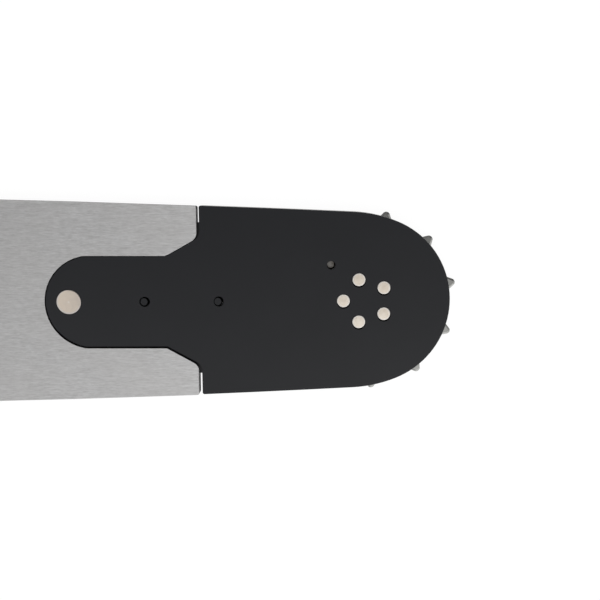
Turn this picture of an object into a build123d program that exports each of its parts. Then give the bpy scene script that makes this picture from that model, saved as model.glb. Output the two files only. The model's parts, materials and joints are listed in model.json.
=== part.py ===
from build123d import *
import math
import os

os.makedirs("parts", exist_ok=True)

# A guide bar for a chain saw, lying flat: a solid steel blade with a replaceable sprocket nose.
# Millimetres. The origin is the middle of the stud slot, half way through the bar's thickness.
# +X points to the nose, +Y across the bar and +Z out of the front face.

# Driving dimensions

# Thickness and chain groove
bar_thickness = 4.8
groove_width = 1.6
groove_depth = 6.5
edge_break = 0.2

# Rails, from the stud slot to the sprocket's axis
guide_length = 505.3
belly_rise = 6.27

# Round end of the nose
nose_tip_radius = 29.08
nose_tip_setback = 0.77
nose_rail_rise = 0.9
nose_blend_radius = 45.0

# Tail
tail_length = 45.0
tail_corner_length = 18.0
tail_corner_drop = 10.5
tail_corner_radius = 5.0
stud_slot_length = 64.0
stud_slot_width = 9.2
tensioner_hole_radius = 3.5
tensioner_hole_x = 14.0
tensioner_hole_y = 16.5
oil_hole_radius = 1.6
oil_hole_x = -17.0

# Nose joint, with lengths measured back from the sprocket's axis
shoulder_setback = 56.5
shoulder_gap = 0.95
shoulder_edge_radius = 0.7
shoulder_corner_radius = 3.4
tongue_reach = 109.2
tongue_half_width = 15.52
tongue_end_bulge = 0.2
tongue_corner_radius = 6.0
tongue_gap = 0.38
pocket_offset = -0.16
nose_turn = 0.25
flare_setback = 68.2
flare_angle = 29.0
web_length = 20.0
core_side_gap = 0.05
core_lift = 1.0
plate_edge_round = 0.22

# Nose rivets and pins
fit_gap = 0.02
tongue_rivet_inset = 7.8
tongue_rivet_head_radius = 4.15
tongue_rivet_shank_radius = 3.0
race_rivet_count = 5
race_rivet_setback = 0.3
race_rivet_circle_radius = 7.6
race_rivet_start_angle = 180.0
race_rivet_head_radius = 2.2
race_rivet_shank_radius = 1.6
rivet_cone_height = 0.6
rivet_land_height = 0.4
rivet_edge_round = 0.15
rivet_seat_break = 0.2
pin_radius = 1.45
pin_ring_gap = 0.3
tongue_pin_inset = 33.6
shoulder_pin_inset = 6.2
shoulder_pin_play = 0.2

# Nose bearing
roller_count = 33
roller_radius = 1.63
roller_spacing_gap = 0.06
roller_end_break = 0.15
running_gap = 0.05
grease_hole_radius = 1.45
grease_hole_inset = 0.3
grease_hole_angle = 134.7

# Sprocket
tooth_count = 11
tooth_stand = 2.48
tooth_flank_angle = 31.2
tooth_tip_radius = 1.25
tooth_bevel_width = 0.6
tooth_bevel_depth = 0.33
tooth_start_angle = 11.75
gullet_radius = 3.0
sprocket_side_gap = 0.1
core_gap = 0.9

# How far a cutting shape runs past what it cuts
overrun = 5.0

# Worked out from the driving dimensions

face_z = bar_thickness / 2
groove_z = groove_width / 2
plate_thickness = face_z - groove_z

rail_end_half_width = nose_tip_radius + nose_rail_rise
belly_half_width = rail_end_half_width + belly_rise
half_span = guide_length / 2
rail_radius = (half_span**2 + belly_rise**2) / (2 * belly_rise)
rail_centre = Vector(half_span, belly_half_width - rail_radius)

tail_x = -tail_length
tail_corner_x = tail_x + tail_corner_length
shoulder_x = guide_length - shoulder_setback
body_end_x = shoulder_x - shoulder_gap
tongue_end_x = guide_length - tongue_reach
flare_x = guide_length - flare_setback
web_end_x = tongue_end_x + web_length
tongue_rivet_x = tongue_end_x + tongue_rivet_inset
tongue_pin_x = tongue_end_x + tongue_pin_inset
shoulder_pin_x = shoulder_x + shoulder_pin_inset
pin_places = ((tongue_pin_x, 0), (shoulder_pin_x - shoulder_pin_play, 0))
pin_hole_places = ((tongue_pin_x, 0), (shoulder_pin_x, 0))

tip_centre = Vector(guide_length - nose_tip_setback, 0)
tip_x = tip_centre.X + nose_tip_radius
nose_axis = (guide_length, 0)
race_rivet_centre = (guide_length - race_rivet_setback, 0)

# The nose is turned a little about its tongue rivet in the loose pocket: its pieces lie on this plane
nose_plane = Plane(Pos(tongue_rivet_x, 0, 0) * Rot(0, 0, nose_turn) * Pos(-tongue_rivet_x, 0, 0))

roller_circle_radius = (roller_radius + roller_spacing_gap / 2) / math.sin(math.pi / roller_count)
race_radius = roller_circle_radius - roller_radius - running_gap
bore_radius = roller_circle_radius + roller_radius + running_gap
roller_length = groove_width - 2 * sprocket_side_gap
sprocket_thickness = groove_width - 2 * sprocket_side_gap
tooth_circle_radius = nose_tip_radius - nose_tip_setback + tooth_stand


def rail_half_width(x, inset=0.0):
    """Half the bar's width at x, or half the width between lines that far inside the rails."""
    return rail_centre.Y + math.sqrt((rail_radius - inset) ** 2 - (x - half_span) ** 2)


def blend_centre():
    """Centre of the arc that touches the upper rail and the round end of the nose from outside."""
    from_rail = rail_radius - nose_blend_radius
    from_tip = nose_blend_radius - nose_tip_radius
    across = tip_centre - rail_centre
    along = (from_rail**2 - from_tip**2 + across.length**2) / (2 * across.length)
    aside = math.sqrt(from_rail**2 - along**2)
    direction = across.normalized()
    return rail_centre + direction * along + Vector(-direction.Y, direction.X) * aside


def bar_outline():
    """The whole bar seen from the front: bowed rails, a round nose and a tail with cut corners."""
    blend = blend_centre()
    rail_end = rail_centre + (blend - rail_centre).normalized() * rail_radius
    tip_start = tip_centre + (tip_centre - blend).normalized() * nose_tip_radius
    blend_middle = blend + ((rail_end + tip_start) / 2 - blend).normalized() * nose_blend_radius
    corner = Vector(tail_corner_x, rail_half_width(tail_corner_x))
    tail_face = Vector(tail_x, corner.Y - tail_corner_drop)
    with BuildSketch() as outline:
        with BuildLine():
            Line(tail_face, corner)
            ThreePointArc(corner, (half_span, belly_half_width), rail_end)
            ThreePointArc(rail_end, blend_middle, tip_start)
            mirror(about=Plane.XZ)
            ThreePointArc(tip_start, (tip_x, 0), (tip_start.X, -tip_start.Y))
            Line((tail_x, -tail_face.Y), tail_face)
        make_face()
        fillet(outline.vertices().sort_by(Axis.X)[:4], tail_corner_radius)
    return outline.sketch


def groove_floor():
    """Everything between the floors of the two grooves, past both ends of the bar."""
    start_x = tail_x - overrun
    end_x = tip_x + overrun
    start_y = rail_half_width(start_x, groove_depth)
    end_y = rail_half_width(end_x, groove_depth)
    middle_y = belly_half_width - groove_depth
    with BuildSketch() as floor:
        with BuildLine():
            ThreePointArc((start_x, start_y), (half_span, middle_y), (end_x, end_y))
            Line((end_x, end_y), (end_x, -end_y))
            ThreePointArc((end_x, -end_y), (half_span, -middle_y), (start_x, -start_y))
            Line((start_x, -start_y), (start_x, start_y))
        make_face()
    return floor.sketch


def nose_room(shoulder, gap):
    """The nose's tongue, flare and everything past the shoulder, made larger by a gap all round."""
    slope = math.tan(math.radians(flare_angle))
    half_width = tongue_half_width + gap
    end_radius = half_width + tongue_end_bulge
    flare_start = flare_x - gap * math.tan(math.radians(flare_angle / 2))
    flare_end_y = half_width + (shoulder - flare_start) * slope
    round_x = tongue_end_x - gap + end_radius - math.sqrt(end_radius**2 - half_width**2)
    outer_y = belly_half_width + overrun
    outer_x = tip_x + overrun
    with BuildSketch() as room:
        with BuildLine():
            Polyline(
                (round_x, half_width),
                (flare_start, half_width),
                (shoulder, flare_end_y),
                (shoulder, outer_y),
                (outer_x, outer_y),
                (outer_x, 0),
            )
            mirror(about=Plane.XZ)
            ThreePointArc((round_x, half_width), (tongue_end_x - gap, 0), (round_x, -half_width))
        make_face()
        ends = room.vertices().filter_by(lambda v: abs(v.X - round_x) < fit_gap)
        fillet(ends, tongue_corner_radius + gap)
        corners = room.vertices().filter_by(lambda v: abs(v.X - shoulder) < fit_gap)
        fillet(corners.sort_by(lambda v: abs(v.Y))[:2], shoulder_corner_radius)
    return room.sketch


def round_shoulder_edges(outline, shoulder):
    """Round the two outer corners of a flat outline at the shoulder between body and nose."""
    corners = outline.vertices().filter_by(lambda v: abs(v.X - shoulder) < fit_gap)
    fillet(corners.sort_by(lambda v: abs(v.Y))[-2:], shoulder_edge_radius)


def rivet_form(shank_radius, head_radius, gap, mode):
    """A rivet through the whole bar with a countersunk head on each face, or the hole for one."""
    land_z = face_z - rivet_land_height
    cone_z = land_z - rivet_cone_height
    upright = (Align.CENTER, Align.CENTER, Align.MIN)
    Cylinder(shank_radius + gap, bar_thickness, mode=mode)
    for turn in (0, 180):
        with Locations(Location((0, 0, 0), (turn, 0, 0))):
            with Locations((0, 0, cone_z)):
                Cone(shank_radius + gap, head_radius + gap, rivet_cone_height, align=upright, mode=mode)
            with Locations((0, 0, land_z)):
                Cylinder(head_radius + gap, rivet_land_height, align=upright, mode=mode)


def break_rims(part, mouth_radius):
    """Chamfer the rims of the holes of a given radius in a part's front face."""
    rims = part.edges().group_by(Axis.Z)[-1].filter_by(GeomType.CIRCLE)
    chamfer(rims.filter_by(lambda rim: abs(rim.radius - mouth_radius) < fit_gap / 2), rivet_seat_break)


# The blade: rails, groove, pocket for the nose, and the tail's slot and holes
with BuildPart() as bar_body:
    with BuildSketch(Plane.XY.offset(-face_z)) as blade_outline:
        add(bar_outline())
        with Locations((body_end_x, 0)):
            Rectangle(
                shoulder_gap + shoulder_setback + nose_tip_radius,
                2 * (belly_half_width + overrun),
                align=(Align.MIN, Align.CENTER),
                mode=Mode.SUBTRACT,
            )
        round_shoulder_edges(blade_outline, body_end_x)
    extrude(amount=bar_thickness)
    for face in (bar_body.faces().sort_by(Axis.Z)[-1], bar_body.faces().sort_by(Axis.Z)[0]):
        chamfer(face.outer_wire().edges(), edge_break)

    with BuildSketch(Plane.XY.offset(-groove_z)):
        with Locations((half_span, 0)):
            Rectangle(2 * guide_length, 2 * (belly_half_width + overrun))
        add(groove_floor(), mode=Mode.SUBTRACT)
    extrude(amount=groove_width, mode=Mode.SUBTRACT)

    with BuildSketch(Plane.XY.offset(groove_z), Plane.XY.offset(-groove_z - plate_thickness)):
        with Locations((0, pocket_offset)):
            add(nose_room(body_end_x, tongue_gap))
    extrude(amount=plate_thickness, mode=Mode.SUBTRACT)
    with BuildSketch(Plane.XY.offset(-groove_z)):
        with Locations((0, pocket_offset)):
            add(nose_room(body_end_x, tongue_gap))
        with Locations((web_end_x, 0)):
            Rectangle(
                web_length + overrun,
                2 * (tongue_half_width + overrun),
                align=(Align.MAX, Align.CENTER),
                mode=Mode.SUBTRACT,
            )
    extrude(amount=groove_width, mode=Mode.SUBTRACT)

    with BuildSketch(Plane.XY.offset(-face_z)):
        SlotOverall(stud_slot_length, stud_slot_width)
        with Locations((tensioner_hole_x, tensioner_hole_y), (tensioner_hole_x, -tensioner_hole_y)):
            Circle(tensioner_hole_radius)
        oil_hole_y = rail_half_width(oil_hole_x, groove_depth)
        with Locations((oil_hole_x, oil_hole_y), (oil_hole_x, -oil_hole_y)):
            Circle(oil_hole_radius)
        with Locations((tongue_rivet_x, 0)):
            Circle(tongue_rivet_shank_radius + fit_gap)
    extrude(amount=bar_thickness, mode=Mode.SUBTRACT)
bar_body.part.label = "bar_body"
export_step(bar_body.part, "parts/bar_body.step")

# The nose's two side plates
with BuildPart(nose_plane) as nose_plate_front:
    with BuildSketch(nose_plane.offset(groove_z)) as plate_outline:
        add(bar_outline())
        add(nose_room(shoulder_x, 0), mode=Mode.INTERSECT)
        round_shoulder_edges(plate_outline, shoulder_x)
        with Locations(*pin_hole_places):
            Circle(pin_radius + pin_ring_gap, mode=Mode.SUBTRACT)
        with Locations(nose_axis):
            with PolarLocations(roller_circle_radius - grease_hole_inset, 1, grease_hole_angle):
                Circle(grease_hole_radius, mode=Mode.SUBTRACT)
    extrude(amount=plate_thickness)
    with Locations(race_rivet_centre):
        with PolarLocations(race_rivet_circle_radius, race_rivet_count, race_rivet_start_angle):
            rivet_form(race_rivet_shank_radius, race_rivet_head_radius, fit_gap, Mode.SUBTRACT)
    with Locations((tongue_rivet_x, 0)):
        rivet_form(tongue_rivet_shank_radius, tongue_rivet_head_radius, fit_gap, Mode.SUBTRACT)
    break_rims(nose_plate_front, race_rivet_head_radius + fit_gap)
    break_rims(nose_plate_front, tongue_rivet_head_radius + fit_gap)
    fillet(nose_plate_front.faces().sort_by(Axis.Z)[-1].outer_wire().edges(), plate_edge_round)
nose_plate_front.part.label = "nose_plate_front"
export_step(nose_plate_front.part, "parts/nose_plate_front.step")

with BuildPart() as nose_plate_back:
    mirror(nose_plate_front.part, about=Plane.XY)
nose_plate_back.part.label = "nose_plate_back"
export_step(nose_plate_back.part, "parts/nose_plate_back.step")

# The spacer between the plates, which fills the blade's fork and is hollowed out round the sprocket
with BuildPart() as nose_core:
    with BuildSketch(Plane.XY.offset(-groove_z)):
        with Locations((0, core_lift)):
            add(groove_floor())
        with Locations((0, pocket_offset)):
            add(nose_room(body_end_x, tongue_gap - core_side_gap), mode=Mode.INTERSECT)
        with Locations((web_end_x + tongue_gap, 0)):
            Rectangle(
                web_length + overrun,
                2 * (tongue_half_width + overrun),
                align=(Align.MAX, Align.CENTER),
                mode=Mode.SUBTRACT,
            )
        with Locations(nose_plane.from_local_coords(Vector(*nose_axis))):
            Circle(tooth_circle_radius + core_gap, mode=Mode.SUBTRACT)
            Rectangle(
                nose_tip_radius + overrun,
                2 * belly_half_width,
                align=(Align.MIN, Align.CENTER),
                mode=Mode.SUBTRACT,
            )
        with Locations(*(nose_plane.from_local_coords(Vector(*place)) for place in pin_places)):
            Circle(pin_radius + fit_gap, mode=Mode.SUBTRACT)
    extrude(amount=groove_width)
nose_core.part.label = "nose_core"
export_step(nose_core.part, "parts/nose_core.step")

# The fixed disc inside the bearing
with BuildPart() as inner_race:
    with BuildSketch(nose_plane.offset(-groove_z)):
        with Locations(nose_axis):
            Circle(race_radius)
        with Locations(race_rivet_centre):
            with PolarLocations(race_rivet_circle_radius, race_rivet_count, race_rivet_start_angle):
                Circle(race_rivet_shank_radius + fit_gap, mode=Mode.SUBTRACT)
    extrude(amount=groove_width)
inner_race.part.label = "inner_race"
export_step(inner_race.part, "parts/inner_race.step")


def star_corners():
    """Corners of the toothed wheel before they are rounded: a point for each tooth and each gullet."""
    flank = math.radians(tooth_flank_angle)
    half_pitch = math.pi / tooth_count
    point_radius = tooth_circle_radius + tooth_tip_radius * (1 / math.sin(flank) - 1)
    gullet_point_radius = point_radius * math.sin(flank) / math.sin(flank + half_pitch)
    corners = []
    for tooth in range(tooth_count):
        angle = math.radians(tooth_start_angle) + 2 * half_pitch * tooth
        for radius, turn in ((point_radius, angle), (gullet_point_radius, angle + half_pitch)):
            corners.append((radius * math.cos(turn), radius * math.sin(turn)))
    return corners


# The toothed wheel
with BuildPart() as sprocket:
    with BuildSketch(Plane(nose_plane.location * Pos(guide_length, 0, -sprocket_thickness / 2))) as star:
        with BuildLine():
            Polyline(*star_corners(), close=True)
        make_face()
        by_radius = star.vertices().sort_by_distance((0, 0, 0))
        fillet(by_radius[:tooth_count], gullet_radius)
        by_radius = star.vertices().sort_by_distance((0, 0, 0))
        fillet(by_radius[-tooth_count:], tooth_tip_radius)
        Circle(bore_radius, mode=Mode.SUBTRACT)
    extrude(amount=sprocket_thickness)
    for face in (sprocket.faces().sort_by(Axis.Z)[-1], sprocket.faces().sort_by(Axis.Z)[0]):
        chamfer(face.outer_wire().edges(), tooth_bevel_width, tooth_bevel_depth, reference=face)
sprocket.part.label = "sprocket"
export_step(sprocket.part, "parts/sprocket.step")

# The rollers between the disc and the toothed wheel, the first of them under the grease hole
for number in range(roller_count):
    angle = math.radians(grease_hole_angle + number * 360 / roller_count)
    roller_x = guide_length + roller_circle_radius * math.cos(angle)
    roller_y = roller_circle_radius * math.sin(angle)
    with BuildPart(nose_plane) as roller:
        with Locations((roller_x, roller_y, 0)):
            Cylinder(roller_radius, roller_length)
        chamfer(roller.edges().filter_by(GeomType.CIRCLE), roller_end_break)
    roller.part.label = f"roller_{number + 1:02d}"
    export_step(roller.part, f"parts/{roller.part.label}.step")

# Rivets through the plates and the disc
with BuildPart(nose_plane) as race_rivets:
    with Locations(race_rivet_centre):
        with PolarLocations(race_rivet_circle_radius, race_rivet_count, race_rivet_start_angle):
            rivet_form(race_rivet_shank_radius, race_rivet_head_radius, 0, Mode.ADD)
    for rims in (race_rivets.edges().group_by(Axis.Z)[0], race_rivets.edges().group_by(Axis.Z)[-1]):
        fillet(rims, rivet_edge_round)
race_rivets.part.label = "race_rivets"
export_step(race_rivets.part, "parts/race_rivets.step")

# The rivet that holds the tongue on the blade's web
with BuildPart(nose_plane) as tongue_rivet:
    with Locations((tongue_rivet_x, 0)):
        rivet_form(tongue_rivet_shank_radius, tongue_rivet_head_radius, 0, Mode.ADD)
    for rims in (tongue_rivet.edges().group_by(Axis.Z)[0], tongue_rivet.edges().group_by(Axis.Z)[-1]):
        fillet(rims, rivet_edge_round)
tongue_rivet.part.label = "tongue_rivet"
export_step(tongue_rivet.part, "parts/tongue_rivet.step")

# Pins through the plates and the spacer
with BuildPart(nose_plane) as core_pins:
    with Locations(*pin_places):
        Cylinder(pin_radius, bar_thickness)
    chamfer(core_pins.edges().filter_by(GeomType.CIRCLE), edge_break)
core_pins.part.label = "core_pins"
export_step(core_pins.part, "parts/core_pins.step")
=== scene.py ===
# %% [markdown]
# A guide bar for a chain saw lies on a white table and is seen from almost straight above.
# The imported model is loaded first: it is the fixed frame that every later step is measured from.
# Its solids keep their shape and place, and this lesson gives them their finish, floor and light.

# %% Load the frame
import json
import math

import bmesh
import bpy
from mathutils import Matrix, Vector


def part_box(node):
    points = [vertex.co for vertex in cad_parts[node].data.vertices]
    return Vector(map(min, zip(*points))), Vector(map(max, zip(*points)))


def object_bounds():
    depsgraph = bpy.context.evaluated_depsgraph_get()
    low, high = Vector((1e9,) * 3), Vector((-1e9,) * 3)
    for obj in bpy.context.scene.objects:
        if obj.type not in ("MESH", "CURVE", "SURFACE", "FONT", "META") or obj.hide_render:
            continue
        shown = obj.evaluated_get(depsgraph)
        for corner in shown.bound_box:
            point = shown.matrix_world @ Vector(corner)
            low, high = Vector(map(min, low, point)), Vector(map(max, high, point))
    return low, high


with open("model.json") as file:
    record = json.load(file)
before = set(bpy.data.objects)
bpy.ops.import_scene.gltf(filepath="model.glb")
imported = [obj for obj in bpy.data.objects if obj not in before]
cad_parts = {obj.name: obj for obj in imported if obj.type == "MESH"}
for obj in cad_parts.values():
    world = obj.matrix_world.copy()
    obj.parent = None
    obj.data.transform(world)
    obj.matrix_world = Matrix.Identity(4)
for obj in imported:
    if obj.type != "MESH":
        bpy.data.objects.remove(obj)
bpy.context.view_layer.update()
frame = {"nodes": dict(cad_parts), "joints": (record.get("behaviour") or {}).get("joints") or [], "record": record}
scene = bpy.context.scene
scene.view_settings.view_transform = "Standard"
MM = 0.001
print("loaded", len(frame["nodes"]), "nodes")

# %% [markdown]
# The camera. Only the nose end of the bar is in view, and the far half of the nose looks a little
# larger than the near half, so the camera stands nearly above the nose and leans over from the far
# side. It could be turned by hand until the view fits, but a focal length and a point to look at,
# both given in pixels of the picture, place it for good.

# %% Camera
PIXELS_ACROSS = 600
PIXEL_SIZE = 0.34 * MM
FOCAL_PIXELS = 800
TILT = math.radians(8.29)
SENSOR = 36.0
LOOK_BACK = 66.71 * PIXEL_SIZE
LOOK_UP = 2.18 * PIXEL_SIZE

nose_axis = Vector(frame["joints"][0]["pos_m"])
nose_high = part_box("nose_plate_front")[1]
look_at = Vector((nose_axis.x - LOOK_BACK, LOOK_UP, nose_high.z))
camera_data = bpy.data.cameras.new("camera")
camera_data.sensor_width = SENSOR
camera_data.lens = SENSOR * FOCAL_PIXELS / PIXELS_ACROSS
camera = bpy.data.objects.new("camera", camera_data)
scene.collection.objects.link(camera)
camera_distance = FOCAL_PIXELS * PIXEL_SIZE
lean = Matrix.Rotation(-TILT, 4, "X")
step_back = Matrix.Translation((0, 0, camera_distance))
camera.matrix_world = Matrix.Translation(look_at) @ lean @ step_back
scene.camera = camera
print("camera stands", round(camera_distance, 3), "m from", [round(v, 4) for v in look_at])

# %% [markdown]
# A small kit for materials. Every finish below is a few texture nodes that feed one Principled
# shader. The nodes could be clicked together in the shader editor, but short helpers make them the
# same way on every run and leave each finish only the lines that are its own.

# %% Kit: materials
METAL = 1.0
NO_METAL = 0.0


def start_material(name):
    """A new material, its node tree and its Principled shader."""
    material = bpy.data.materials.new(name)
    material.use_nodes = True
    tree = material.node_tree
    return material, tree, tree.nodes["Principled BSDF"]


def add_node(tree, kind, **values):
    """A new node with some of its inputs set."""
    made = tree.nodes.new(kind)
    for socket, value in values.items():
        made.inputs[socket.replace("_", " ")].default_value = value
    return made


def feed(tree, socket, value):
    """Link a socket to an input, or set the input to a plain value."""
    if isinstance(value, bpy.types.NodeSocket):
        tree.links.new(value, socket)
    else:
        socket.default_value = value


def dress(tree, shader, colour, roughness, metallic):
    """Feed the three sockets that every finish uses."""
    feed(tree, shader.inputs["Base Color"], colour)
    feed(tree, shader.inputs["Roughness"], roughness)
    feed(tree, shader.inputs["Metallic"], metallic)


print("kit: materials ready")

# %% [markdown]
# Most nodes here work out one number for each spot of a surface. Many of these numbers are masks,
# 1 where something holds and 0 elsewhere. The product of two masks holds where both do, and the
# larger of two holds where either does, so plain sums take the place of painted maps.

# %% Kit: sums, masks and blends
def math_node(tree, operation, first, second=0.0):
    """The result of one sum. Each side is a socket or a number."""
    made = tree.nodes.new("ShaderNodeMath")
    made.operation = operation
    feed(tree, made.inputs[0], first)
    feed(tree, made.inputs[1], second)
    return made.outputs[0]


def both(tree, first, second):
    """The mask that holds where two masks do, or a mask times a share."""
    return math_node(tree, "MULTIPLY", first, second)


def either(tree, first, second):
    """The mask that holds where one of two masks does."""
    return math_node(tree, "MAXIMUM", first, second)


def opposite(tree, mask):
    """1 where a mask is 0, and 0 where it is 1."""
    return math_node(tree, "SUBTRACT", 1.0, mask)


def remap(tree, value, low, high, to_low, to_high):
    """Spread a value's range from low to high over a new range."""
    ends = {"From_Min": low, "From_Max": high, "To_Min": to_low, "To_Max": to_high}
    made = add_node(tree, "ShaderNodeMapRange", **ends)
    tree.links.new(value, made.inputs["Value"])
    return made.outputs["Result"]


def mix_value(tree, factor, first, second):
    """Blend two numbers."""
    made = tree.nodes.new("ShaderNodeMix")
    feed(tree, made.inputs["Factor"], factor)
    feed(tree, made.inputs["A"], first)
    feed(tree, made.inputs["B"], second)
    return made.outputs["Result"]


def mix_colour(tree, factor, first, second):
    """Blend two colours. Each is a socket or three numbers."""
    made = tree.nodes.new("ShaderNodeMix")
    made.data_type = "RGBA"
    feed(tree, made.inputs["Factor"], factor)
    for name, value in (("A_Color", first), ("B_Color", second)):
        socket = next(s for s in made.inputs if s.identifier == name)
        feed(tree, socket, value if isinstance(value, bpy.types.NodeSocket) else (*value, 1.0))
    return next(s for s in made.outputs if s.identifier == "Result_Color")


print("kit: sums, masks and blends ready")

# %% [markdown]
# Noise gives a surface its marks. It reads Object coordinates, which are metres in the bar's own
# frame, so a pattern's size is a real size. Noise crowds round its middle of 0.5, so it is spread
# before use. Marks a few thousandths of a millimetre high are too fine for the mesh, and a bump node
# bends the light as they would.

# %% Kit: noise and bump
NOISE_MIDDLE = 0.5
NOISE_REACH = 0.2


def grain(tree, size, detail=2.0, roughness=0.5):
    """Noise from 0 to 1 whose lumps have the given length, width and height in metres."""
    coords = tree.nodes.new("ShaderNodeTexCoord")
    mapping = add_node(tree, "ShaderNodeMapping", Scale=[1 / s for s in size])
    tree.links.new(coords.outputs["Object"], mapping.inputs["Vector"])
    noise = add_node(tree, "ShaderNodeTexNoise", Scale=1.0, Detail=detail, Roughness=roughness)
    tree.links.new(mapping.outputs[0], noise.inputs["Vector"])
    return noise.outputs["Fac"]


def spread(tree, noise, reach, to_low=0, to_high=1):
    """Spread what noise has within reach of its middle over a new range."""
    return remap(tree, noise, NOISE_MIDDLE - reach, NOISE_MIDDLE + reach, to_low, to_high)


def emboss(tree, shader, height, depth, strength):
    """Bump the surface by a height, where a height of 1 stands depth metres proud."""
    made = add_node(tree, "ShaderNodeBump", Strength=strength, Distance=depth)
    tree.links.new(height, made.inputs["Height"])
    tree.links.new(made.outputs["Normal"], shader.inputs["Normal"])


print("kit: noise and bump ready")

# %% [markdown]
# Some marks belong to one wall or groove. A place on the bar is a plain number in its own frame, and
# the surface normal tells a wall from a face, so such marks need no painting by hand.

# %% Kit: place and facing
MOSTLY = 0.5


def place(tree):
    """Sockets with x, y and z in metres."""
    coords = tree.nodes.new("ShaderNodeTexCoord")
    split = tree.nodes.new("ShaderNodeSeparateXYZ")
    tree.links.new(coords.outputs["Object"], split.inputs[0])
    return split.outputs


def facing(tree):
    """Sockets with the size of the surface normal's x, y and z."""
    coords = tree.nodes.new("ShaderNodeTexCoord")
    size = tree.nodes.new("ShaderNodeVectorMath")
    size.operation = "ABSOLUTE"
    split = tree.nodes.new("ShaderNodeSeparateXYZ")
    tree.links.new(coords.outputs["Normal"], size.inputs[0])
    tree.links.new(size.outputs[0], split.inputs[0])
    return split.outputs


def side_wall(tree):
    """1 on walls that stand upright while the bar lies flat, and 0 on its faces and chamfers."""
    return math_node(tree, "LESS_THAN", facing(tree)["Z"], MOSTLY)


print("kit: place and facing ready")

# %% [markdown]
# The walls of the blade's pocket, ends and holes, the chain groove and the web in the pocket get
# painted shade, a dark colour where little light reaches. They could be given materials of their own
# face by face, but their place and facing find them in one shader. The rails along the edges are
# ground bare.

# %% Cut walls and groove, painted in shade
GROOVE_HALF_WIDTH = 0.82 * MM
GROOVE_START = 21 * MM
POCKET_START = 390 * MM
RAIL_START = 26 * MM


def groove_and_web(tree):
    """1 in the chain groove and on the web that the nose is riveted to."""
    spot = place(tree)
    off_centre = math_node(tree, "ABSOLUTE", spot["Z"])
    off_line = math_node(tree, "ABSOLUTE", spot["Y"])
    between_cheeks = math_node(tree, "LESS_THAN", off_centre, GROOVE_HALF_WIDTH)
    near_edge = math_node(tree, "GREATER_THAN", off_line, GROOVE_START)
    in_pocket = math_node(tree, "GREATER_THAN", spot["X"], POCKET_START)
    return both(tree, between_cheeks, either(tree, near_edge, in_pocket))


def cut_wall(tree):
    """1 on the walls of the pocket, the ends and the holes, and 0 on the ground rails."""
    across = math_node(tree, "GREATER_THAN", facing(tree)["X"], MOSTLY)
    off_line = math_node(tree, "ABSOLUTE", place(tree)["Y"])
    off_rails = math_node(tree, "LESS_THAN", off_line, RAIL_START)
    return both(tree, either(tree, across, off_rails), side_wall(tree))


print("groove starts", round(GROOVE_START / MM), "mm off the bar's line")

# %% [markdown]
# The blade is ground lengthways on a belt, which leaves short fine streaks and some longer ones.
# Noise that is much longer than it is wide gives them. It shades the colour and the roughness a
# little and lifts the surface by a few thousandths of a millimetre. Streaks too fine to see smear a
# reflection sideways across them, so the gloss is wider across the bar than along it.

# %% Ground steel of the blade
STREAK = (1.9 * MM, 0.37 * MM, 0.37 * MM)
STREAK_DEPTH = 0.006 * MM
STREAK_STRENGTH = 0.35
LONG_STREAK = (6.5 * MM, 0.42 * MM, 0.42 * MM)
LONG_SHARE = 0.27
BLADE_DARK = (0.471, 0.466, 0.465)
BLADE_PALE = (0.675, 0.673, 0.674)
BLADE_ROUGHNESS = (0.36, 0.46)
CLOUD = (22 * MM, 14 * MM, 14 * MM)
CLOUD_REACH = 0.15
CLOUD_SHARE = 0.18
CLOUD_GREY = (0.56, 0.543, 0.53)
SHADE_ALONG = (0.015, 0.0145, 0.014)
SHADE_ACROSS = (0.08, 0.078, 0.075)
GROOVE_SHADE = (0.03, 0.028, 0.025)
DULL_ROUGHNESS = 0.6
SMEAR = 0.55
QUARTER_TURN = 0.25


def smear_gloss(tree, shader):
    """Make the gloss wider across the bar than along it."""
    along_bar = tree.nodes.new("ShaderNodeTangent")
    along_bar.direction_type = "RADIAL"
    along_bar.axis = "Y"
    tree.links.new(along_bar.outputs[0], shader.inputs["Tangent"])
    feed(tree, shader.inputs["Anisotropic"], SMEAR)
    feed(tree, shader.inputs["Anisotropic Rotation"], QUARTER_TURN)


def ground_steel():
    """The blade's finish, with painted shade on its cut walls, its groove and its web."""
    material, tree, shader = start_material("ground_steel")
    streak = grain(tree, STREAK, detail=3.0, roughness=0.6)
    long_streak = grain(tree, LONG_STREAK, detail=1.0)
    tone = spread(tree, mix_value(tree, LONG_SHARE, streak, long_streak), NOISE_REACH)
    cloud = spread(tree, grain(tree, CLOUD), CLOUD_REACH, 0, CLOUD_SHARE)
    cut = cut_wall(tree)
    groove = groove_and_web(tree)
    # painted shade: near black on walls that run along the bar, lighter on end walls, and on groove and web
    wall_shade = mix_colour(tree, facing(tree)["X"], SHADE_ALONG, SHADE_ACROSS)
    colour = mix_colour(tree, tone, BLADE_DARK, BLADE_PALE)
    colour = mix_colour(tree, cloud, colour, CLOUD_GREY)
    colour = mix_colour(tree, cut, colour, wall_shade)
    colour = mix_colour(tree, groove, colour, GROOVE_SHADE)
    roughness = mix_value(tree, tone, *BLADE_ROUGHNESS)
    roughness = mix_value(tree, either(tree, cut, groove), roughness, DULL_ROUGHNESS)
    dress(tree, shader, colour, roughness, METAL)
    smear_gloss(tree, shader)
    emboss(tree, shader, streak, STREAK_DEPTH, STREAK_STRENGTH)
    return material


blade_finish = ground_steel()
print("made", blade_finish.name)
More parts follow.
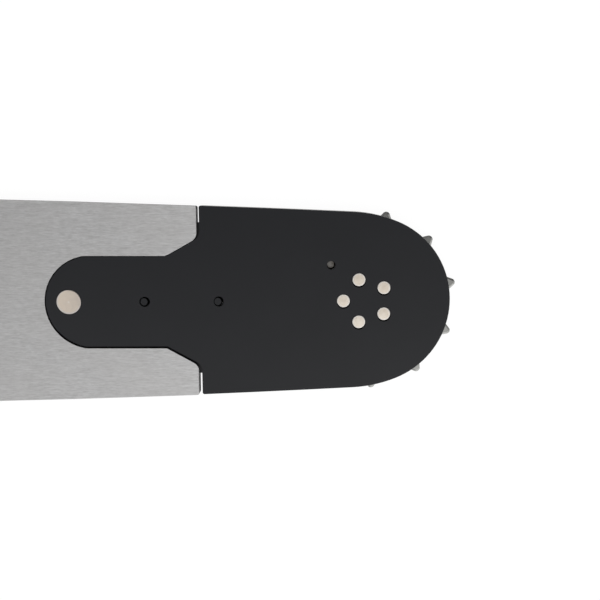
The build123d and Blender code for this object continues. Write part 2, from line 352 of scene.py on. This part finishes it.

# %% [markdown]
# Some finishes change close to a rivet or a pin: both kinds of rivet head have a cooler rim, a thin
# seam of painted shade lies at the small heads, and the pins have rings of painted shade. This step
# works out where the rivets and pins stand, from the boxes of their solids and the circle that the
# five small rivets lie on. The nose is turned a little about its large rivet, and the line from that
# rivet to the sprocket's axis gives the turn.

# %% Places of the rivets and pins
RACE_RIVETS = 5
RACE_RIVET_SETBACK = 0.3 * MM
RACE_RIVET_CIRCLE = 7.6 * MM
RACE_RIVET_RADIUS = 2.2 * MM
PIN_RADIUS = 1.45 * MM


def box_middle(node):
    """The middle of a solid's box, as x and y."""
    low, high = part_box(node)
    return (low.x + high.x) / 2, (low.y + high.y) / 2


tongue_rivet_place = box_middle("tongue_rivet")
rise = nose_axis.y - tongue_rivet_place[1]
run = nose_axis.x - tongue_rivet_place[0]
nose_turn = math.atan2(rise, run)
race_rivet_places = []
for number in range(RACE_RIVETS):
    turn = nose_turn + math.pi + number * math.tau / RACE_RIVETS
    rivet_x = nose_axis.x - RACE_RIVET_SETBACK + RACE_RIVET_CIRCLE * math.cos(turn)
    rivet_y = nose_axis.y + RACE_RIVET_CIRCLE * math.sin(turn)
    race_rivet_places.append((rivet_x, rivet_y))
pin_low, pin_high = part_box("core_pins")
pin_places = [
    (pin_low.x + PIN_RADIUS, pin_low.y + PIN_RADIUS),
    (pin_high.x - PIN_RADIUS, pin_high.y - PIN_RADIUS),
]
print("found", 1 + len(race_rivet_places), "rivets and", len(pin_places), "pins")

# %% [markdown]
# Rims, rings and seams are all told by how far a spot lies from a middle. One helper measures the
# way to the nearest of several middles, so five rivets take no more lines than one. A ring that is
# thicker on one side is what lies between two circles whose middles differ.

# %% Kit: round spots
def distance_from(tree, middles):
    """Distance in metres from the nearest of some upright axes."""
    spot = place(tree)
    flat = tree.nodes.new("ShaderNodeCombineXYZ")
    tree.links.new(spot["X"], flat.inputs["X"])
    tree.links.new(spot["Y"], flat.inputs["Y"])
    nearest = None
    for middle in middles:
        gap = tree.nodes.new("ShaderNodeVectorMath")
        gap.operation = "DISTANCE"
        tree.links.new(flat.outputs[0], gap.inputs[0])
        gap.inputs[1].default_value = (*middle, 0)
        distance = gap.outputs["Value"]
        nearest = distance if nearest is None else math_node(tree, "MINIMUM", nearest, distance)
    return nearest


def past_edge(tree, middles, radius):
    """Distance in metres past the edge of the nearest of some circles, below 0 inside one."""
    return math_node(tree, "SUBTRACT", distance_from(tree, middles), radius)


def inside(tree, middles, radius):
    """1 inside some circles."""
    return math_node(tree, "LESS_THAN", distance_from(tree, middles), radius)


def moved(middles, shift):
    """The same middles, all moved by one shift along x and y."""
    return [(x + shift[0], y + shift[1]) for x, y in middles]


print("kit: round spots ready")

# %% [markdown]
# On a new bar the rails are ground after coating, so the outer walls of the black nose plates are
# bare metal. They could be masked off as for spraying, face by face. Here they are found by their
# upright normal and by how far out they lie: from the nose's line, and round its tip from its axis.

# %% Bare rails of the nose
RAIL_INSET = 1.6 * MM
PAST_SHOULDER = 7 * MM
SQUARED = 2.0

rail_reach = nose_high.x - nose_axis.x - RAIL_INSET


def bare_rail(tree):
    """1 on the outer walls of the nose past its shoulder, where the chain runs."""
    spot = place(tree)
    ahead = math_node(tree, "SUBTRACT", spot["X"], nose_axis.x)
    ahead = math_node(tree, "POWER", math_node(tree, "MAXIMUM", ahead, 0.0), SQUARED)
    aside = math_node(tree, "SUBTRACT", spot["Y"], nose_axis.y)
    aside = math_node(tree, "POWER", math_node(tree, "ABSOLUTE", aside), SQUARED)
    reach = math_node(tree, "SQRT", math_node(tree, "ADD", ahead, aside))
    outer = math_node(tree, "GREATER_THAN", reach, rail_reach)
    past = math_node(tree, "GREATER_THAN", spot["X"], pin_high.x - PAST_SHOULDER)
    return both(tree, both(tree, outer, past), side_wall(tree))


print("bare rails lie past", round(rail_reach / MM, 1), "mm")

# %% [markdown]
# Painted shade lies as black on the other walls of the nose, in a thin seam at each small rivet,
# thicker on the near side, and in the rings round the pins, thicker on the right. It is made a black
# metal, which mirrors next to nothing.

# %% Painted shade on the nose
PAINTED_SHADE_BLACK = (0.001, 0.001, 0.001)
PAINTED_SHADE_ROUGHNESS = 0.8
SEAM_SHIFT = (0.04 * MM, -0.38 * MM)
SEAM_FULL = -0.05 * MM
SEAM_END = 0.2 * MM
RING_SHIFT = (0.25 * MM, 0)
RING_REACH = 1.65 * MM
RING_INNER_SHIFT = (-0.2 * MM, 0)
RING_INNER_RADIUS = 1.15 * MM
RING_FADE = 0.2 * MM
CLEAR_OF_PIN = 0.6 * MM


def painted_shade(tree, bare):
    """1 where shade is painted on the nose plates and the pins."""
    past_head = past_edge(tree, moved(race_rivet_places, SEAM_SHIFT), RACE_RIVET_RADIUS)
    seam = remap(tree, past_head, SEAM_FULL, SEAM_END, 1, 0)
    past_ring_inner = past_edge(tree, moved(pin_places, RING_INNER_SHIFT), RING_INNER_RADIUS)
    in_ring = inside(tree, moved(pin_places, RING_SHIFT), RING_REACH)
    ring = both(tree, remap(tree, past_ring_inner, 0, RING_FADE, 0, 1), in_ring)
    inner_wall = both(tree, side_wall(tree), opposite(tree, bare))
    at_pin = inside(tree, pin_places, PIN_RADIUS + CLEAR_OF_PIN)
    wall = both(tree, inner_wall, opposite(tree, at_pin))
    return either(tree, either(tree, seam, ring), wall)


print("grease rings reach", round(RING_REACH / MM, 2), "mm")

# %% [markdown]
# The nose plates have a satin black coating with a very fine tooth, and a slow haze in it keeps the
# large dark face from looking printed. The spacer between the plates has the same coating without
# bare rails or painted shade, so both materials share the lines that make the coating.

# %% Satin black of the nose
TOOTH = (0.22 * MM, 0.22 * MM, 0.22 * MM)
TOOTH_DEPTH = 0.004 * MM
TOOTH_STRENGTH = 0.2
HAZE = (18 * MM, 18 * MM, 18 * MM)
COAT_DARK = (0.0062, 0.0068, 0.0091)
COAT_PALE = (0.0074, 0.008, 0.0105)
COAT_ROUGHNESS = (0.31, 0.37)
COAT_SHEEN = 0.365
RAIL_GREY = (0.6, 0.595, 0.585)
RAIL_ROUGHNESS = 0.32


def black_coat(tree, shader):
    """Give a shader the coating's tooth and sheen, and return its colour and roughness."""
    tooth = grain(tree, TOOTH, detail=1.0)
    haze = spread(tree, grain(tree, HAZE), NOISE_REACH)
    feed(tree, shader.inputs["Specular IOR Level"], COAT_SHEEN)
    emboss(tree, shader, tooth, TOOTH_DEPTH, TOOTH_STRENGTH)
    colour = mix_colour(tree, haze, COAT_DARK, COAT_PALE)
    return colour, spread(tree, tooth, NOISE_REACH, *COAT_ROUGHNESS)


def satin_black():
    """The finish of the nose plates and pins."""
    material, tree, shader = start_material("satin_black")
    colour, roughness = black_coat(tree, shader)
    bare = bare_rail(tree)
    # painted shade: black in the rivet seams, the pin rings and the inner walls
    shade_mask = painted_shade(tree, bare)
    colour = mix_colour(tree, shade_mask, colour, PAINTED_SHADE_BLACK)
    colour = mix_colour(tree, bare, colour, RAIL_GREY)
    roughness = mix_value(tree, shade_mask, roughness, PAINTED_SHADE_ROUGHNESS)
    roughness = mix_value(tree, bare, roughness, RAIL_ROUGHNESS)
    dress(tree, shader, colour, roughness, either(tree, bare, shade_mask))
    return material


def core_black():
    """The finish of the spacer between the plates."""
    material, tree, shader = start_material("core_black")
    colour, roughness = black_coat(tree, shader)
    dress(tree, shader, colour, roughness, NO_METAL)
    return material


nose_finish = satin_black()
core_finish = core_black()
print("made", nose_finish.name, "and", core_finish.name)

# %% [markdown]
# Rivets are soft steel, struck and then dressed flush, so their heads are a warm pale grey. The rim,
# where the hammer spread the metal, is cooler. The five small heads get painted light, a little
# paler towards the near side, and a pale and even rim. The large head gets painted light, paler on
# its left, keeps the dot of the tool that formed it, and has a rim that is thicker at the lower left.
# One faint mottle runs through all of them, and each kind of head mixes its own colours with it.

# %% Colours of the rivet heads
RIM_WIDTH = 0.55 * MM
RIM_FULL = -0.4 * RIM_WIDTH
RIM_GREY = (0.81, 0.772, 0.725)
NEAR_LIGHT_SHARE = 0.4
SMALL_DARK = (0.7, 0.615, 0.512)
SMALL_PALE = (0.861, 0.792, 0.697)
LEFT_LIGHT_SHARE = 0.75
LARGE_DARK = (0.63, 0.557, 0.494)
LARGE_PALE = (0.808, 0.707, 0.593)
MARK_RADIUS = 0.45 * MM
MARK_FULL = 0.4 * MARK_RADIUS
MARK_SHARE = 0.6
LARGE_RIM_SHIFT = (0.2 * MM, 0.2 * MM)
LARGE_RIM_START = -0.9 * RIM_WIDTH
LARGE_RIM_FULL = -0.3 * RIM_WIDTH
LARGE_RIM_SHARE = 0.7
LARGE_RIM_GREY = (0.65, 0.625, 0.62)

rivet_low, rivet_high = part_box("tongue_rivet")
large_radius = (rivet_high.x - rivet_low.x) / 2


def small_head(tree, mottle):
    """Colour of the five small heads, with painted light towards the near side."""
    near_y = nose_axis.y - RACE_RIVET_CIRCLE
    far_y = nose_axis.y + RACE_RIVET_CIRCLE
    # painted light: paler towards the near side
    painted_light_near = remap(tree, place(tree)["Y"], near_y, far_y, 1, 0)
    tone = mix_value(tree, NEAR_LIGHT_SHARE, mottle, painted_light_near)
    past = past_edge(tree, race_rivet_places, RACE_RIVET_RADIUS)
    rim = remap(tree, past, -RIM_WIDTH, RIM_FULL, 0, 1)
    return mix_colour(tree, rim, mix_colour(tree, tone, SMALL_DARK, SMALL_PALE), RIM_GREY)


def large_head(tree, mottle):
    """Colour of the large head, with painted light on its left."""
    # painted light: paler on the left
    painted_light_left = remap(tree, place(tree)["X"], rivet_low.x, rivet_high.x, 1, 0)
    tone = mix_value(tree, LEFT_LIGHT_SHARE, mottle, painted_light_left)
    from_middle = distance_from(tree, [tongue_rivet_place])
    mark = remap(tree, from_middle, MARK_FULL, MARK_RADIUS, MARK_SHARE, 0)
    past = past_edge(tree, moved([tongue_rivet_place], LARGE_RIM_SHIFT), large_radius)
    rim = remap(tree, past, LARGE_RIM_START, LARGE_RIM_FULL, 0, LARGE_RIM_SHARE)
    colour = mix_colour(tree, tone, LARGE_DARK, LARGE_PALE)
    colour = mix_colour(tree, mark, colour, RIM_GREY)
    return mix_colour(tree, rim, colour, LARGE_RIM_GREY)


print("large head is", round(2 * large_radius / MM, 1), "mm across")

# %% [markdown]
# Under the colour, hammered steel has fine pits with no direction in them, and the small heads stay
# a few hundredths of a millimetre higher in the middle. That only shows in how they catch the light,
# so both go into one bump, with heights in metres.

# %% Rivet steel
MOTTLE = (1.9 * MM, 1.9 * MM, 1.9 * MM)
MOTTLE_REACH = 0.18
PIT = (0.25 * MM, 0.25 * MM, 0.25 * MM)
PIT_DEPTH = 0.0024 * MM
CROWN = 0.065 * MM
METRE = 1.0
FULL_STRENGTH = 1.0
RIVET_ROUGHNESS = (0.38, 0.54)
RIVET_METAL = 0.85


def head_height(tree, pit):
    """Height of the heads in metres: the pits, less the fall from the middle of a small head."""
    outward = remap(tree, distance_from(tree, race_rivet_places), 0, RACE_RIVET_RADIUS, 0, 1)
    fall = math_node(tree, "MULTIPLY", math_node(tree, "POWER", outward, SQUARED), CROWN)
    return math_node(tree, "SUBTRACT", math_node(tree, "MULTIPLY", pit, PIT_DEPTH), fall)


def rivet_steel():
    """The finish of all rivets."""
    material, tree, shader = start_material("rivet_steel")
    mottle = spread(tree, grain(tree, MOTTLE), MOTTLE_REACH)
    pit = grain(tree, PIT)
    on_small = inside(tree, race_rivet_places, RACE_RIVET_RADIUS + RIM_WIDTH)
    colour = mix_colour(tree, on_small, large_head(tree, mottle), small_head(tree, mottle))
    roughness = spread(tree, pit, NOISE_REACH, *RIVET_ROUGHNESS)
    dress(tree, shader, colour, roughness, RIVET_METAL)
    emboss(tree, shader, head_height(tree, pit), METRE, FULL_STRENGTH)
    return material


rivet_finish = rivet_steel()
print("made", rivet_finish.name)

# %% [markdown]
# The toothed wheel is blanked from sheet and hardened. Its faces are smoother than the blade, so
# they mirror the lights more sharply, and its cut walls are painted dark as shade. The walls are told
# by their normal, as on the blade, so the tips of the teeth get both looks from one material.

# %% Sprocket steel
SCALE_MARK = (1.6 * MM, 1.6 * MM, 1.6 * MM)
SCALE_MARK_DEPTH = 0.01 * MM
SCALE_MARK_STRENGTH = 0.2
WHEEL_DARK = (0.36, 0.36, 0.345)
WHEEL_PALE = (0.42, 0.42, 0.405)
WHEEL_ROUGHNESS = (0.14, 0.2)
SPROCKET_WALL_SHADE = (0.12, 0.12, 0.115)
SPROCKET_WALL_ROUGHNESS = 0.5


def hardened_steel():
    """The sprocket's finish."""
    material, tree, shader = start_material("hardened_steel")
    mark = spread(tree, grain(tree, SCALE_MARK, detail=3.0), NOISE_REACH)
    wall = side_wall(tree)
    colour = mix_colour(tree, mark, WHEEL_DARK, WHEEL_PALE)
    # painted shade on the upright walls of the teeth
    colour = mix_colour(tree, wall, colour, SPROCKET_WALL_SHADE)
    roughness = mix_value(tree, mark, *WHEEL_ROUGHNESS)
    roughness = mix_value(tree, wall, roughness, SPROCKET_WALL_ROUGHNESS)
    dress(tree, shader, colour, roughness, METAL)
    emboss(tree, shader, mark, SCALE_MARK_DEPTH, SCALE_MARK_STRENGTH)
    return material


sprocket_finish = hardened_steel()
print("made", sprocket_finish.name)

# %% [markdown]
# The bearing pieces are ground and lie in brown grease. One roller's end shows through the grease
# hole. Round a spot on it, black is painted as the shade of the hole's wall, so the hole is not just
# a grey dot. The spot lies a little off the roller's middle, which is found from its box.

# %% Bearing steel
FILM = (2.5 * MM, 2.5 * MM, 2.5 * MM)
FILM_REACH = 0.1
FILM_THIN = (0.205, 0.196, 0.184)
FILM_THICK = (0.125, 0.112, 0.098)
FILM_ROUGHNESS = (0.38, 0.5)
HOLE_REACH = 2.2 * MM
UNSHADED_SHIFT = (0.07 * MM, -0.08 * MM)
UNSHADED_RADIUS = 1.1 * MM
HOLE_SHADE_FADE = 0.15 * MM

hole_place = box_middle("roller_01")


def greased_steel():
    """The finish of the race and the rollers."""
    material, tree, shader = start_material("greased_steel")
    film = spread(tree, grain(tree, FILM, detail=3.0), FILM_REACH)
    past_unshaded = past_edge(tree, moved([hole_place], UNSHADED_SHIFT), UNSHADED_RADIUS)
    at_hole = inside(tree, [hole_place], HOLE_REACH)
    hole_shade = both(tree, remap(tree, past_unshaded, 0, HOLE_SHADE_FADE, 0, 1), at_hole)
    colour = mix_colour(tree, film, FILM_THIN, FILM_THICK)
    # painted shade: black round the spot under the grease hole
    colour = mix_colour(tree, hole_shade, colour, PAINTED_SHADE_BLACK)
    dress(tree, shader, colour, mix_value(tree, film, *FILM_ROUGHNESS), METAL)
    return material


bearing_finish = greased_steel()
print("made", bearing_finish.name)

# %% [markdown]
# Each solid already names its material slot in the record. The finishes could be given out piece by
# piece, but by slot one short loop serves every solid, and pieces of one metal share a material.

# %% Dress the solids
FINISHES = {
    "blade_steel": blade_finish,
    "nose_black": nose_finish,
    "core_steel": core_finish,
    "rivet_steel": rivet_finish,
    "sprocket_steel": sprocket_finish,
    "bearing_steel": bearing_finish,
}

for subpart in frame["record"]["subparts"]:
    solid = frame["nodes"][subpart["node"]]
    solid.data.materials.clear()
    solid.data.materials.append(FINISHES[subpart["material_slot"]])

# %% [markdown]
# The bar lies on a white sheet so wide that its edge is never in view. A single grid face is enough,
# because the sheet is flat and takes its look from its material.

# %% Floor
FLOOR_REACH = 30.0

floor_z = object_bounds()[0][2]
floor_mesh = bmesh.new()
bmesh.ops.create_grid(floor_mesh, x_segments=1, y_segments=1, size=FLOOR_REACH)
bmesh.ops.translate(floor_mesh, vec=(0, 0, floor_z), verts=floor_mesh.verts)
floor_data = bpy.data.meshes.new("floor")
floor_mesh.to_mesh(floor_data)
floor_mesh.free()
floor = bpy.data.objects.new("floor", floor_data)
scene.collection.objects.link(floor)
print("floor lies at", round(floor_z / MM, 2), "mm")

# %% [markdown]
# To the camera and in reflections the sheet is mostly a plain white glow, mixed with an ordinary
# white surface that still takes the bar's shadow. The glow makes up for what that surface lacks, so
# the two together are white. To the light that bounces it is an ordinary surface only. A lit white
# sheet alone would need so much light that the bar would be too bright.

# %% White of the floor
SEEN_GLOW = 0.88
MIRRORED_GLOW = 0.55
GLOW_LEVEL = 1.06
PAPER_WHITE = (0.95, 0.95, 0.95, 1)
WHITE = (1, 1, 1)


def mirrored_ray(tree, path):
    """1 for rays that metal mirrors or glass lets through."""
    return either(tree, path.outputs["Is Glossy Ray"], path.outputs["Is Transmission Ray"])


def glow_share(tree):
    """The glow's share for rays from the camera and for mirrored or refracted ones, or 0."""
    path = tree.nodes.new("ShaderNodeLightPath")
    seen = both(tree, path.outputs["Is Camera Ray"], SEEN_GLOW)
    return either(tree, seen, both(tree, mirrored_ray(tree, path), MIRRORED_GLOW))


def white_sheet():
    """The floor's material."""
    material, tree, shader = start_material("white_sheet")
    tree.nodes.remove(shader)
    paper = add_node(tree, "ShaderNodeBsdfDiffuse", Color=PAPER_WHITE)
    glow = add_node(tree, "ShaderNodeEmission", Color=(*WHITE, 1), Strength=GLOW_LEVEL)
    blend = tree.nodes.new("ShaderNodeMixShader")
    tree.links.new(glow_share(tree), blend.inputs["Fac"])
    tree.links.new(paper.outputs[0], blend.inputs[1])
    tree.links.new(glow.outputs[0], blend.inputs[2])
    tree.links.new(blend.outputs[0], tree.nodes["Material Output"].inputs["Surface"])
    return material


floor_finish = white_sheet()
floor_data.materials.append(floor_finish)
print("made", floor_finish.name)

# %% [markdown]
# The light. A small thing like this is shot in a white tent with a slit in its roof for the camera.
# Metal shows what it mirrors, so the tent's levels shade it: dark where it mirrors the slit, light
# where it mirrors the near side. Behind the slit the far side has a bright panel, and both sides
# are dimmer low down. Lamps and cards could build this, but a world painted by the angle across the
# bar has no edges that show. The angles are in degrees, from the near side over the roof to the far.

# %% Tent: levels across the bar
TENT_STOPS = (
    (-90, 0.65),
    (-58, 0.65),
    (-38, 0.95),
    (-16, 1.0),
    (-10.3, 0.93),
    (-7, 0.66),
    (-3.5, 0.25),
    (-0.5, 0.15),
    (7, 0.15),
    (14, 1.5),
    (28, 1.4),
    (40, 0.36),
    (52, 0.3),
    (70, 0.42),
    (90, 0.5),
)
HALF_TURN = 180
STRAIGHT_UP = 0.5
HORIZON = 0.001


def tent_angles(tree):
    """Angles across and along the bar, 0 straight up, and how far up a direction points."""
    coords = tree.nodes.new("ShaderNodeTexCoord")
    split = tree.nodes.new("ShaderNodeSeparateXYZ")
    tree.links.new(coords.outputs["Generated"], split.inputs[0])
    upward = split.outputs["Z"]
    height = math_node(tree, "MAXIMUM", upward, HORIZON)
    across = math_node(tree, "ARCTAN2", split.outputs["Y"], height)
    along = math_node(tree, "ARCTAN2", split.outputs["X"], height)
    return across, along, upward


def tent_levels(tree, across):
    """The tent's brightness at an angle across the bar."""
    ramp = tree.nodes.new("ShaderNodeValToRGB")
    turn_share = remap(tree, across, -math.pi / 2, math.pi / 2, 0, 1)
    tree.links.new(turn_share, ramp.inputs["Fac"])
    stops = ramp.color_ramp.elements
    while len(stops) < len(TENT_STOPS):
        stops.new(1.0)
    for stop, (degrees, level) in zip(stops, TENT_STOPS):
        stop.position = degrees / HALF_TURN + STRAIGHT_UP
        stop.color = (level, level, level, 1)
    return ramp.outputs["Color"]


print("tent has", len(TENT_STOPS), "stops")

# %% [markdown]
# The far side is dimmer above the tail and past the nose. It is so mostly near the roof: lower down
# the tail's end keeps its light and the nose's end loses less of it, because the bar is also looked
# at from the side, and then it mirrors those low walls.

# %% Tent: dim ends
FAR_START = math.radians(-8)
FAR_FULL = math.radians(10)
TAIL_DIM = math.radians(-32)
TAIL_BRIGHT = math.radians(0)
NOSE_BRIGHT = math.radians(25)
NOSE_DIM = math.radians(50)
DIM_SHARE = 0.75
ROOF_START = 0.5
ROOF_FULL = 0.78
NOSE_WALL_SHARE = 0.6


def dim_ends(tree, across, along, upward):
    """The share of its light that the tent loses at the ends of its far side."""
    on_far_side = remap(tree, across, FAR_START, FAR_FULL, 0, 1)
    on_roof = remap(tree, upward, ROOF_START, ROOF_FULL, 0, 1)
    to_tail = remap(tree, along, TAIL_DIM, TAIL_BRIGHT, DIM_SHARE, 0)
    to_nose = remap(tree, along, NOSE_BRIGHT, NOSE_DIM, 0, DIM_SHARE)
    nose_share = remap(tree, on_roof, 0, 1, NOSE_WALL_SHARE, 1)
    ends = either(tree, both(tree, to_tail, on_roof), both(tree, to_nose, nose_share))
    return both(tree, on_far_side, ends)


print("ends lose up to", DIM_SHARE, "of their light")

# %% [markdown]
# The world puts the tent together. The camera itself sees plain white instead of the tent, and so
# do mirrored rays that leave nearly level, as if a white backdrop stood behind the bar.

# %% Tent: world
BACKDROP_FULL = math.sin(math.radians(5))
BACKDROP_END = math.sin(math.radians(11))
FULL_LIGHT = 1.0


def white_backdrop(tree, upward):
    """1 for rays from the camera and for mirrored rays low down."""
    path = tree.nodes.new("ShaderNodeLightPath")
    low = remap(tree, upward, BACKDROP_FULL, BACKDROP_END, 1, 0)
    return either(tree, path.outputs["Is Camera Ray"], both(tree, mirrored_ray(tree, path), low))


def light_tent():
    """The world that lights the bar."""
    world = bpy.data.worlds.new("light_tent")
    world.use_nodes = True
    tree = world.node_tree
    background = tree.nodes["Background"]
    across, along, upward = tent_angles(tree)
    backdrop = white_backdrop(tree, upward)
    colour = mix_colour(tree, backdrop, tent_levels(tree, across), WHITE)
    kept_light = opposite(tree, dim_ends(tree, across, along, upward))
    feed(tree, background.inputs["Color"], colour)
    feed(tree, background.inputs["Strength"], mix_value(tree, backdrop, kept_light, FULL_LIGHT))
    return world


scene.world = light_tent()
print("made", scene.world.name)

# %% [markdown]
# A tent alone gives no direction to the light, so one large, weak lamp stands on the near side, a
# little to the right. It is as large as a window, which keeps its shadows soft.

# %% Lamp
LAMP_OFFSET = Vector((0.35, -0.6, 0.55))
LAMP_SIZE = 1.0
LAMP_POWER = 2.0

lamp_data = bpy.data.lights.new("low_lamp", "AREA")
lamp_data.size = LAMP_SIZE
lamp_data.energy = LAMP_POWER
lamp = bpy.data.objects.new("low_lamp", lamp_data)
scene.collection.objects.link(lamp)
lamp_aim = (-LAMP_OFFSET).to_track_quat("-Z", "Y").to_matrix().to_4x4()
lamp.matrix_world = Matrix.Translation(look_at + LAMP_OFFSET) @ lamp_aim
print("lamp gives", LAMP_POWER, "W")
